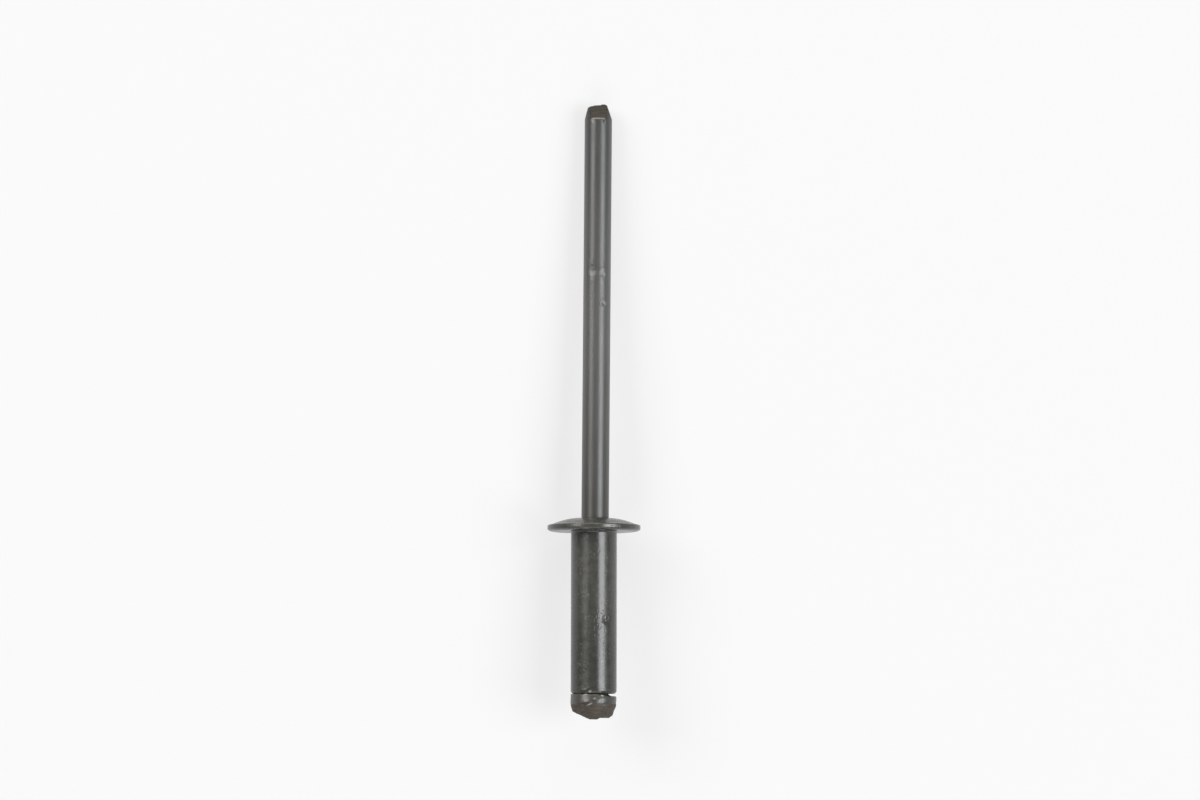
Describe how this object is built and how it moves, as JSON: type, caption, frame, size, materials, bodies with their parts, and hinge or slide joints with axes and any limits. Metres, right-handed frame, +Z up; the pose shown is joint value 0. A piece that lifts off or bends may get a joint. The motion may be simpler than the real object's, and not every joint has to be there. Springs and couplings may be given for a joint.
{
  "type": "blind rivet",
  "caption": "Unset blind rivet lying on its side: a domed, flanged rivet body with a headed break-stem mandrel through its bore.",
  "frame": {"origin": "bottom centre of the bounding box, on the surface that the rivet lies on", "axes": "+Y along the rivet towards the mandrel's pinched tip, +Z up, +X to the right with the tip pointing away; the rivet's own axis leans 4.57 degrees down towards the tip, because it lies on the flange's rim and the tip"},
  "size_m": [0.0064, 0.0419, 0.0063],
  "materials": {
    "blackened_body": "satin black coating on a cold-formed steel body",
    "blackened_wire": "semi-gloss black oxide on drawn steel wire, brown and dull where it was sheared"
  },
  "bodies": {
    "root": {"rivet_body": "blackened_body", "mandrel": "blackened_wire"}
  },
  "joints": []
}
